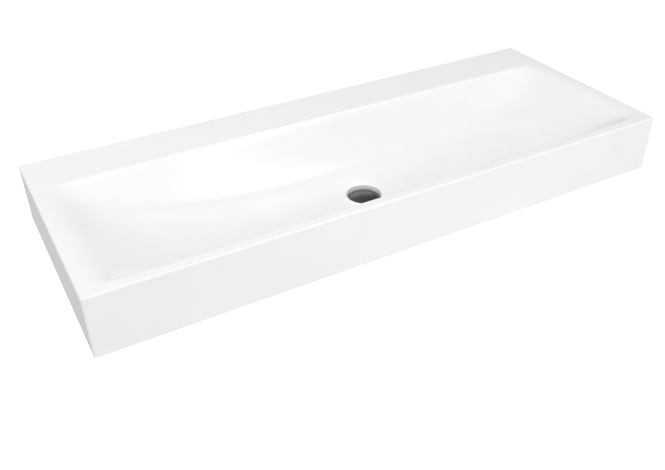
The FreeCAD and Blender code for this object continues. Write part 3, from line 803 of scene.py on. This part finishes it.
def bore_fixings(piece, sizes):
    """Bores the two holes for the wall bushes through the rear skirt."""
    reach = 2 * sizes.sheet
    for side in (-1, 1):
        bore(piece, sizes.fixing_hole, -reach, reach, Vector((side * FIXING_SPACING / 2, 0, 0)), TO_ROOM)


class WASHBASIN_OT_basin(bpy.types.Operator):
    """Models the enamelled basin: ledge, bowl, drain recess, apron, skirt and lips, in one sheet"""

    bl_idname = "washbasin.basin"
    bl_label = "Enamelled basin"

    def execute(self, context):
        sizes = context.scene.washbasin_basin
        along, across = bowl_profiles(sizes)
        half = sizes.basin_length / 2
        columns = grid_lines(along, -half, half, sizes)
        rows = grid_lines(across, -sizes.basin_depth, 0.0, sizes)
        piece = start_piece("enamelled_basin", bpy.ops.mesh.primitive_grid_add, size=2,
                            x_subdivisions=len(columns) - 1, y_subdivisions=len(rows) - 1)
        for vertex in piece.data.vertices:
            x, length_fall = columns[round((vertex.co.x + 1) / 2 * (len(columns) - 1))]
            y, cross_fall = rows[round((vertex.co.y + 1) / 2 * (len(rows) - 1))]
            vertex.co = (x, y, bowl_level(sizes, length_fall, cross_fall))
        open_drain(piece, sizes, along, across)
        fold_apron(piece, sizes)
        apply_modifier(piece, "SOLIDIFY", thickness=sizes.sheet, offset=-1, use_even_offset=True)
        merge_doubles(piece, BEND_WELD, outwards=False)
        bore_fixings(piece, sizes)
        finish_piece(piece, "basin", vitreous_enamel, "basin_shell")
        return {"FINISHED"}


# The wall fixings

class WASHBASIN_OT_brackets(bpy.types.Operator):
    """Models the two folded brackets inside the rear skirt"""

    bl_idname = "washbasin.brackets"
    bl_label = "Wall brackets"

    def execute(self, context):
        sizes = context.scene.washbasin_fixings
        low, high = BRACKET_LOW, BRACKET_HIGH
        middle = (low + high) / 2
        piece = start_piece("left_bracket", bpy.ops.mesh.primitive_plane_add, size=1,
                            rotation=(math.pi / 2, 0, 0), location=(middle.x, high.y, middle.z))
        piece.scale = (high.x - low.x, high.z - low.z, 1)
        bpy.ops.object.transform_apply(location=True, rotation=True, scale=True)
        edit(piece)
        select(piece, "EDGE", lambda edge: abs(edge.verts[0].co.x - edge.verts[1].co.x) < MM)
        bpy.ops.mesh.extrude_edges_move(TRANSFORM_OT_translate={"value": (0, low.y - high.y, 0)})
        select(piece, "EDGE", lambda edge: not edge.is_boundary)
        bpy.ops.mesh.bevel(offset=sizes.bracket_bend, segments=8, affect="EDGES")
        select(piece, "VERT", lambda vertex: vertex.co.y < low.y + MM)
        bpy.ops.mesh.bevel(offset=sizes.bracket_corner, segments=8, affect="VERTICES")
        bpy.ops.mesh.select_all(action="SELECT")
        bpy.ops.mesh.normals_make_consistent(inside=False)
        bpy.ops.object.mode_set(mode="OBJECT")
        back = max(piece.data.polygons, key=lambda face: face.area)
        inward = -1 if back.normal.y > 0 else 1
        apply_modifier(piece, "SOLIDIFY", thickness=sizes.bracket_sheet, offset=inward, use_even_offset=True)
        merge_doubles(piece)
        self.bore_holes(context, piece, middle.x)
        break_edges(piece, sizes.bracket_edge)
        twin = piece.copy()
        twin.data = piece.data.copy()
        twin.name = twin.data.name = "right_bracket"
        context.scene.collection.objects.link(twin)
        twin.data.transform(Matrix.Translation((FIXING_SPACING, 0, 0)))
        for bracket, node in ((piece, "left_wall_bracket"), (twin, "right_wall_bracket")):
            finish_piece(bracket, "basin", hot_dip_zinc, node)
        return {"FINISHED"}

    def bore_holes(self, context, piece, x):
        """Bores the bush's hole and the holes for the two studs."""
        sizes = context.scene.washbasin_fixings
        holes = [(x, 0, context.scene.washbasin_basin.fixing_hole)]
        stud_level = (STUD_LOW.z + STUD_HIGH.z) / 2
        for side in (-1, 1):
            holes.append((x + side * sizes.stud_spacing / 2, stud_level, sizes.stud_radius + sizes.stud_room))
        for place, height, radius in holes:
            bore(piece, radius, 0, 4 * sizes.bracket_sheet, Vector((place, 0, height)), TO_ROOM)


class WASHBASIN_OT_fasteners(bpy.types.Operator):
    """Models the weld studs of the brackets, with their washers and nuts"""

    bl_idname = "washbasin.fasteners"
    bl_label = "Bracket fasteners"

    def execute(self, context):
        sizes = context.scene.washbasin_fixings
        first = Vector((STUD_LOW.x + sizes.stud_radius, STUD_HIGH.y, (STUD_LOW.z + STUD_HIGH.z) / 2))
        span = Vector((sizes.stud_spacing, 0, 0))
        gap = Vector((FIXING_SPACING - sizes.stud_spacing, 0, 0))
        radius, stud_length = sizes.stud_radius, STUD_HIGH.y - STUD_LOW.y
        tip = sizes.stud_thread
        wall = [(radius, row) for row in thread_rows(0, stud_length - tip, sizes.stud_pitch)]
        stud = turned("weld_studs", [(0, 0), *wall, (radius - tip, stud_length), (0, stud_length)],
                      first, TO_ROOM, steps=32)
        thread(stud, first, TO_ROOM, radius, 0, stud_length - tip, sizes.stud_pitch, sizes.stud_thread)
        washer = turned("stud_washers",
                        ring_outline((STUD_WASHER_HIGH.z - STUD_WASHER_LOW.z) / 2, radius + sizes.washer_room,
                                     STUD_HIGH.y - STUD_WASHER_HIGH.y, STUD_HIGH.y - STUD_WASHER_LOW.y),
                        first, TO_ROOM, steps=64)
        break_edges(washer, sizes.washer_edge)
        nut = hexagon_nut("stud_nuts", STUD_NUT_HIGH.z - STUD_NUT_LOW.z, STUD_NUT_HIGH.y - STUD_NUT_LOW.y,
                          radius + THREAD_ROOM, sizes.stud_nut_chamfer,
                          first + TO_ROOM * (STUD_HIGH.y - STUD_NUT_HIGH.y), TO_ROOM)
        for piece, node in ((stud, "bracket_studs"), (washer, "bracket_washers"), (nut, "bracket_nuts")):
            copies(piece, (span, gap, span))
            finish_piece(piece, "basin", zinc_plate, node)
        return {"FINISHED"}


class WASHBASIN_OT_bushes(bpy.types.Operator):
    """Models the flanged bushes for the wall's studs"""

    bl_idname = "washbasin.bushes"
    bl_label = "Wall bushes"

    def execute(self, context):
        sizes = context.scene.washbasin_fixings
        first = Vector((-FIXING_SPACING / 2, BUSH_HIGH.y, 0))
        total = BUSH_HIGH.y - BUSH_LOW.y
        sleeve = FIXING_BORE + sizes.bush_wall
        collar = (BUSH_HIGH.z - BUSH_LOW.z) / 2
        shoulder = total - sizes.bush_flange
        outline = [(FIXING_BORE, 0), (sleeve, 0), (sleeve, shoulder), (collar, shoulder), (collar, total),
                   (FIXING_BORE, total), (FIXING_BORE, 0)]
        piece = turned("flanged_bushes", outline, first, TO_ROOM, steps=64)
        break_edges(piece, sizes.bush_edge, 3)
        copies(piece, (Vector((FIXING_SPACING, 0, 0)),))
        finish_piece(piece, "basin", moulded_polyamide, "wall_bushes")
        return {"FINISHED"}


class WASHBASIN_OT_damping(bpy.types.Operator):
    """Models the damping sheets that are glued under the bowl"""

    bl_idname = "washbasin.damping"
    bl_label = "Damping sheets"

    def execute(self, context):
        for side in ("left", "right"):
            node = frame["nodes"][side + "_damping_pad"]
            sheet = bpy.data.objects.new(side + "_damping_sheet", node.data.copy())
            context.scene.collection.objects.link(sheet)
            sheet.data.materials.clear()
            merge_doubles(sheet)
            edit(sheet)
            bpy.ops.mesh.select_all(action="SELECT")
            bpy.ops.mesh.customdata_custom_splitnormals_clear()
            bpy.ops.object.mode_set(mode="OBJECT")
            break_edges(sheet, context.scene.washbasin_basin.damping_edge, 3)
            finish_piece(sheet, "basin", bitumen_felt, side + "_damping_pad")
        return {"FINISHED"}


# The waste

class WASHBASIN_OT_waste(bpy.types.Operator):
    """Models the waste: flange, throat and threaded tail, with the bridge that carries the cartridge"""

    bl_idname = "washbasin.waste"
    bl_label = "Waste body"

    def execute(self, context):
        sizes = context.scene.washbasin_waste
        top, end = WASTE_HIGH.z, WASTE_LOW.z
        flange_radius = (WASTE_HIGH.x - WASTE_LOW.x) / 2
        inner, tail = sizes.tail_bore, TAIL_RADIUS
        outline = arc((inner + sizes.throat, top - sizes.throat), sizes.throat, 180, 90, 10)
        edge = sizes.flange_edge
        outline += arc((flange_radius - edge, top - edge), edge, 90, 0, 5)
        outline += [(flange_radius, top - sizes.flange), (tail, top - sizes.flange)]
        relief_top = NUT_LOW.z - sizes.spare_thread
        relief_foot = relief_top - sizes.relief
        groove = tail - sizes.relief_depth
        rows = thread_rows(end + sizes.tail_chamfer, relief_foot, sizes.tail_pitch)
        outline += [(tail, relief_top), (groove, relief_top), (groove, relief_foot)]
        outline += [(tail, row) for row in reversed(rows)]
        outline += [(tail - sizes.tail_chamfer, end), (inner, end), outline[0]]
        piece = turned("waste_with_bridge", outline)
        thread(piece, DRAIN, UP, tail, rows[0], relief_foot, sizes.tail_pitch, sizes.tail_thread)
        self.add_bridge(context, piece)
        finish_piece(piece, "basin", chrome_plate, "waste_body")
        return {"FINISHED"}

    def add_bridge(self, context, piece):
        """Adds the hub and its arms to the bore."""
        sizes = context.scene.washbasin_waste
        head_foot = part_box("cartridge_body")[1].z - sizes.cartridge_head
        hub_foot = head_foot - sizes.hub_height
        hub = turned("hub", ring_outline(sizes.hub_radius, sizes.hub_bore, hub_foot, head_foot))
        break_edges(hub, sizes.hub_edge)
        reach = (sizes.tail_bore + TAIL_RADIUS) / 2
        inner = (sizes.hub_radius + sizes.hub_bore) / 2
        arm = start_piece("arm", bpy.ops.mesh.primitive_cube_add, size=1)
        arm.data.transform(Matrix.Diagonal((reach - inner, sizes.arm_width, sizes.arm_height, 1)))
        arm.data.transform(Matrix.Translation((DRAIN.x + (reach + inner) / 2, DRAIN.y,
                                               hub_foot + sizes.arm_height / 2)))
        for turn in range(sizes.arm_count):
            spoke = arm.copy()
            spoke.data = arm.data.copy()
            context.scene.collection.objects.link(spoke)
            about = Matrix.Rotation(math.tau * turn / sizes.arm_count, 4, "Z")
            spoke.data.transform(Matrix.Translation(DRAIN) @ about @ Matrix.Translation(-DRAIN))
            boolean(hub, spoke, "UNION")
        bpy.data.objects.remove(arm)
        boolean(piece, hub, "UNION")


class WASHBASIN_OT_rings(bpy.types.Operator):
    """Models the seals and the slip washer of the waste"""

    bl_idname = "washbasin.rings"
    bl_label = "Seals and slip washer"

    def execute(self, context):
        sizes = context.scene.washbasin_waste
        clamp_hole = TAIL_RADIUS + sizes.clamp_room
        seal_hole = context.scene.washbasin_basin.waste_hole + sizes.seal_setback
        rings = (
            ("flange_seal_ring", "flange_seal", seal_hole, "black_rubber", moulded_rubber),
            ("under_seal_ring", "under_seal", clamp_hole, "black_rubber", moulded_rubber),
            ("slip_ring", "slip_washer", clamp_hole, "white_plastic", natural_polyethylene),
        )
        for name, node, hole, slot, make in rings:
            low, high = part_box(node)
            ring = turned(name, ring_outline((high.x - low.x) / 2, hole, low.z, high.z))
            break_edges(ring, sizes.seal_edge, 3)
            finish_piece(ring, "basin", make, node)
        return {"FINISHED"}


class WASHBASIN_OT_back_nut(bpy.types.Operator):
    """Models the hexagon nut that clamps the waste"""

    bl_idname = "washbasin.back_nut"
    bl_label = "Back nut"

    def execute(self, context):
        sizes = context.scene.washbasin_waste
        nut = hexagon_nut("clamp_nut", NUT_HIGH.y - NUT_LOW.y, NUT_HIGH.z - NUT_LOW.z,
                          TAIL_RADIUS + THREAD_ROOM, sizes.nut_chamfer, DRAIN + UP * NUT_LOW.z, UP)
        finish_piece(nut, "basin", machined_brass, "back_nut")
        return {"FINISHED"}


class WASHBASIN_OT_cartridge(bpy.types.Operator):
    """Gives the push-open cartridge its finishes and winds its spring"""

    bl_idname = "washbasin.cartridge"
    bl_label = "Push-open cartridge"

    def execute(self, context):
        sizes = context.scene.washbasin_waste
        finish_node("cartridge_body", grey_acetal)
        finish_node("cartridge_end_plug", natural_polyethylene)
        finish_node("index_ring", natural_polyethylene)
        finish_node("plunger_stem", machined_brass)
        low, high = SPRING_LOW, SPRING_HIGH
        wire = sizes.spring_wire
        coil = (high.x - low.x) / 2 - wire
        climb = high.z - low.z - 2 * wire
        spring = start_piece("lifting_spring", bpy.ops.mesh.primitive_circle_add, vertices=12, radius=wire,
                             rotation=(math.pi / 2, 0, 0), location=(coil, 0, 0))
        bpy.ops.object.transform_apply(location=True, rotation=True, scale=True)
        apply_modifier(spring, "SCREW", axis="Z", angle=math.tau, screw_offset=climb / sizes.spring_turns,
                       iterations=sizes.spring_turns, steps=32, render_steps=32, use_smooth_shade=True)
        spring.data.transform(Matrix.Translation(DRAIN + UP * (low.z + wire)))
        edit(spring)
        bpy.ops.mesh.select_all(action="SELECT")
        bpy.ops.mesh.fill_holes(sides=0)
        bpy.ops.object.mode_set(mode="OBJECT")
        merge_doubles(spring)
        finish_piece(spring, "basin", drawn_wire, "cartridge_spring")
        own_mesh(spring)
        return {"FINISHED"}


class WASHBASIN_OT_plug(bpy.types.Operator):
    """Models the domed plug and the seal under it"""

    bl_idname = "washbasin.plug"
    bl_label = "Plug"

    def execute(self, context):
        sizes = context.scene.washbasin_plug
        radius = (CAP_HIGH.x - CAP_LOW.x) / 2
        crown, boss_foot = CAP_HIGH.z, CAP_LOW.z
        foot = boss_foot + sizes.boss_drop
        shoulder = foot + sizes.cap_edge
        bow = (radius ** 2 + sizes.cap_rise ** 2) / (2 * sizes.cap_rise)
        slope = math.degrees(math.asin(radius / bow))
        soft = sizes.edge_radius
        dome = arc((0, crown - bow), bow, 90, 90 - slope * (1 - soft / radius), 24)
        seal_outer = (PLUG_SEAL_HIGH.x - PLUG_SEAL_LOW.x) / 2 + sizes.seal_clearance
        seal_inner = seal_outer - sizes.seal_width - 2 * sizes.seal_clearance
        stem_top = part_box("plunger_stem")[1].z
        outline = dome + arc((radius - soft, shoulder - soft), soft, 90 - slope, 0, 5)
        outline += arc((radius - soft, foot + soft), soft, 0, -90, 5)
        outline += [(seal_outer, foot), (seal_outer, PLUG_SEAL_HIGH.z), (seal_inner, PLUG_SEAL_HIGH.z),
                    (seal_inner, foot), (sizes.boss_radius, foot), (sizes.boss_radius, boss_foot),
                    (sizes.stem_hole, boss_foot), (sizes.stem_hole, stem_top), (0, stem_top)]
        cap = turned("domed_cap", outline, steps=128)
        finish_piece(cap, "plug", dark_chrome_plate, "plug_cap")
        ring = turned("plug_seal_ring", ring_outline(seal_outer - sizes.seal_clearance,
                                                     seal_inner + sizes.seal_clearance,
                                                     PLUG_SEAL_LOW.z, PLUG_SEAL_HIGH.z))
        break_edges(ring, sizes.ring_edge, 3)
        finish_piece(ring, "plug", moulded_rubber, "plug_seal")
        return {"FINISHED"}


# The stage

class WASHBASIN_OT_stage(bpy.types.Operator):
    """Sets up the floor, the soft studio light and the camera"""

    bl_idname = "washbasin.stage"
    bl_label = "Studio"

    # The softbox over the bowl: its middle, its width and length in metres, the share of each that fades out
    softbox_middle = (0.16, -0.72, 0.65)
    softbox_size = (0.44, 1.6)
    softbox_fade = (0.42, 0.2)
    # Lamps that don't show in the gloss: name, place, the point they face, side in metres, power in watts
    # and the angle in degrees that their light spreads over
    lamps = (
        ("left_lamp", (-0.9, -0.25, 1.5), (-0.9, -0.25, 0.0), 0.8, 1.44, 180),
        ("front_lamp", (0.25, -1.5, -0.1), (0.05, -0.46, -0.02), 0.4, 1.82, 180),
        ("drain_lamp", (-0.51, -1.105, 0.655), (0.0, -0.266, -0.052), 0.03, 0.0048, 2),
    )
    # Where across the room, from -1 to 1, the gloss starts and ends its turn from left to right
    room_turn = (0.1, 0.7)
    # Where the photograph was taken from, what it looks at, its roll in degrees and its lens
    camera_place = (-0.7037, -1.4163, 0.7835)
    camera_aim = (-0.1950, -0.4991, 0.055)
    camera_roll = -0.5
    camera_lens = 42.02
    sensor_width = 36.0

    def execute(self, context):
        stage = context.scene.washbasin_stage
        self.lay_floor(context, stage)
        self.hang_softbox(stage)
        self.hang_lamps(context)
        self.paint_room(context, stage)
        self.set_camera(context)
        context.scene.view_settings.view_transform = "Standard"
        return {"FINISHED"}

    def lay_floor(self, context, stage):
        """A plain pale floor, white to the eye and clear from below."""
        floor = start_piece("studio_floor", bpy.ops.mesh.primitive_plane_add, size=stage.floor_size,
                            location=(0, 0, stage.floor_level))
        bpy.ops.object.transform_apply(location=True, rotation=False, scale=False)
        tone = (*context.scene.washbasin_colours.floor, 1)
        material, tree, shader, _ = new_finish("studio_floor", Base_Color=tone, Roughness=0.9,
                                               Emission_Color=WHITE)
        path = add_node(tree, "ShaderNodeLightPath")
        link_inputs(tree, shader, {"Emission Strength": (path, "Is Camera Ray")})
        side = add_node(tree, "ShaderNodeNewGeometry")
        clear = add_node(tree, "ShaderNodeBsdfTransparent")
        seen = add_node(tree, "ShaderNodeMixShader",
                        links={0: (side, "Backfacing"), 1: (shader, 0), 2: (clear, 0)})
        link_inputs(tree, tree.nodes["Material Output"], {"Surface": (seen, 0)})
        floor.data.materials.append(material)

    def hang_softbox(self, stage):
        """A long softbox that shows in the gloss alone, brightest in its middle."""
        width, reach = self.softbox_size
        box = start_piece("overhead_softbox", bpy.ops.mesh.primitive_plane_add, size=1)
        box.data.transform(Matrix.Translation(self.softbox_middle) @ Matrix.Diagonal((width, reach, 1, 1)))
        box.visible_camera = False
        box.visible_diffuse = False
        box.visible_shadow = False
        material = bpy.data.materials.new("softbox_cloth")
        material.use_nodes = True
        tree = material.node_tree
        tree.nodes.clear()
        place = add_node(tree, "ShaderNodeTexCoord")
        centred = add_node(tree, "ShaderNodeVectorMath", {"operation": "SUBTRACT", 1: self.softbox_middle},
                           {0: (place, "Object")})
        sized = add_node(tree, "ShaderNodeVectorMath", {"operation": "DIVIDE", 1: (width / 2, reach / 2, 1)},
                         {0: (centred, "Vector")})
        apart = add_node(tree, "ShaderNodeSeparateXYZ", links={"Vector": (sized, "Vector")})
        fades = []
        for side, share, most in zip("XY", self.softbox_fade, (stage.softbox_glow, 1.0)):
            out = add_node(tree, "ShaderNodeMath", {"operation": "ABSOLUTE"}, {0: (apart, side)})
            edge = {"interpolation_type": "SMOOTHSTEP", "From Min": 1.0, "From Max": 1 - 2 * share,
                    "To Max": most}
            fades.append(add_node(tree, "ShaderNodeMapRange", edge, {"Value": (out, "Value")}))
        glow = add_node(tree, "ShaderNodeMath", {"operation": "MULTIPLY"},
                        {0: (fades[0], "Result"), 1: (fades[1], "Result")})
        lamp = add_node(tree, "ShaderNodeEmission", links={"Strength": (glow, "Value")})
        add_node(tree, "ShaderNodeOutputMaterial", links={"Surface": (lamp, "Emission")})
        box.data.materials.append(material)

    def hang_lamps(self, context):
        """Square lamps that light the basin and don't show."""
        for name, place, aim, side, power, spread in self.lamps:
            bpy.ops.object.light_add(type="AREA", location=place)
            lamp = context.object
            lamp.name = name
            lamp.data.size = side
            lamp.data.energy = power
            lamp.data.spread = math.radians(spread)
            lamp.rotation_euler = (Vector(aim) - Vector(place)).to_track_quat("-Z", "Y").to_euler()
            lamp.visible_camera = False
            lamp.visible_glossy = False

    def paint_room(self, context, stage):
        """A dim room, darker to the right, that is white where the camera sees it."""
        world = bpy.data.worlds.new("studio_room")
        world.use_nodes = True
        tree = world.node_tree
        way = (add_node(tree, "ShaderNodeTexCoord"), "Generated")
        path = add_node(tree, "ShaderNodeLightPath")
        apart = add_node(tree, "ShaderNodeSeparateXYZ", links={"Vector": way})
        start, end = self.room_turn
        dusk = add_node(tree, "ShaderNodeMapRange",
                        {"From Min": start, "From Max": end,
                         "To Min": stage.room_left, "To Max": stage.room_right},
                        {"Value": (apart, "X")})
        gloss = add_node(tree, "ShaderNodeBackground", {"Color": WHITE}, {"Strength": (dusk, "Result")})
        facing = add_node(tree, "ShaderNodeVectorMath", {"operation": "DOT_PRODUCT", 1: stage.room_way},
                          {0: way})
        shed = add_node(tree, "ShaderNodeMapRange",
                        {"From Min": -1.0, "To Min": stage.room_dim, "To Max": stage.room_bright},
                        {"Value": (facing, "Value")})
        room = add_node(tree, "ShaderNodeBackground", {"Color": WHITE}, {"Strength": (shed, "Result")})
        backdrop = add_node(tree, "ShaderNodeBackground", {"Color": WHITE, "Strength": 1.0})
        lit = add_node(tree, "ShaderNodeMixShader",
                       links={0: (path, "Is Glossy Ray"), 1: (room, 0), 2: (gloss, 0)})
        seen = add_node(tree, "ShaderNodeMixShader",
                        links={0: (path, "Is Camera Ray"), 1: (lit, 0), 2: (backdrop, 0)})
        link_inputs(tree, tree.nodes["World Output"], {"Surface": (seen, 0)})
        context.scene.world = world

    def set_camera(self, context):
        """The camera, at the photograph's place and lens."""
        place, aim = Vector(self.camera_place), Vector(self.camera_aim)
        bpy.ops.object.camera_add(location=place)
        camera = context.object
        camera.name = "photo_camera"
        turn = (aim - place).to_track_quat("-Z", "Y").to_matrix().to_4x4()
        roll = Matrix.Rotation(math.radians(self.camera_roll), 4, "Z")
        camera.matrix_world = Matrix.Translation(place) @ turn @ roll
        camera.data.lens = self.camera_lens
        camera.data.sensor_width = self.sensor_width
        camera.data.sensor_fit = "HORIZONTAL"
        context.scene.camera = camera


OPERATORS = (
    WASHBASIN_OT_basin,
    WASHBASIN_OT_brackets,
    WASHBASIN_OT_fasteners,
    WASHBASIN_OT_bushes,
    WASHBASIN_OT_damping,
    WASHBASIN_OT_waste,
    WASHBASIN_OT_rings,
    WASHBASIN_OT_back_nut,
    WASHBASIN_OT_cartridge,
    WASHBASIN_OT_plug,
    WASHBASIN_OT_stage,
)
GROUPS = {
    "washbasin_basin": WASHBASIN_PG_basin,
    "washbasin_fixings": WASHBASIN_PG_fixings,
    "washbasin_waste": WASHBASIN_PG_waste,
    "washbasin_plug": WASHBASIN_PG_plug,
    "washbasin_colours": WASHBASIN_PG_colours,
    "washbasin_stage": WASHBASIN_PG_stage,
}


class WASHBASIN_PT_pieces(bpy.types.Panel):
    """Lists the pieces of the washbasin and their sizes"""

    bl_idname = "WASHBASIN_PT_pieces"
    bl_label = "Washbasin"
    bl_space_type = "VIEW_3D"
    bl_region_type = "UI"
    bl_category = "Washbasin"

    def draw(self, context):
        for operator in OPERATORS:
            self.layout.operator(operator.bl_idname)
        for name, group in GROUPS.items():
            box = self.layout.box()
            for setting in group.__annotations__:
                box.prop(getattr(context.scene, name), setting)


def register():
    for group in GROUPS.values():
        bpy.utils.register_class(group)
    for name, group in GROUPS.items():
        setattr(bpy.types.Scene, name, PointerProperty(type=group))
    for part in (*OPERATORS, WASHBASIN_PT_pieces):
        bpy.utils.register_class(part)


def unregister():
    for part in (WASHBASIN_PT_pieces, *reversed(OPERATORS)):
        bpy.utils.unregister_class(part)
    for name in GROUPS:
        delattr(bpy.types.Scene, name)
    for group in reversed(GROUPS.values()):
        bpy.utils.unregister_class(group)


def main():
    register()
    for operator in OPERATORS:
        family, name = operator.bl_idname.split(".")
        getattr(getattr(bpy.ops, family), name)()


if __name__ == "__main__":
    main()
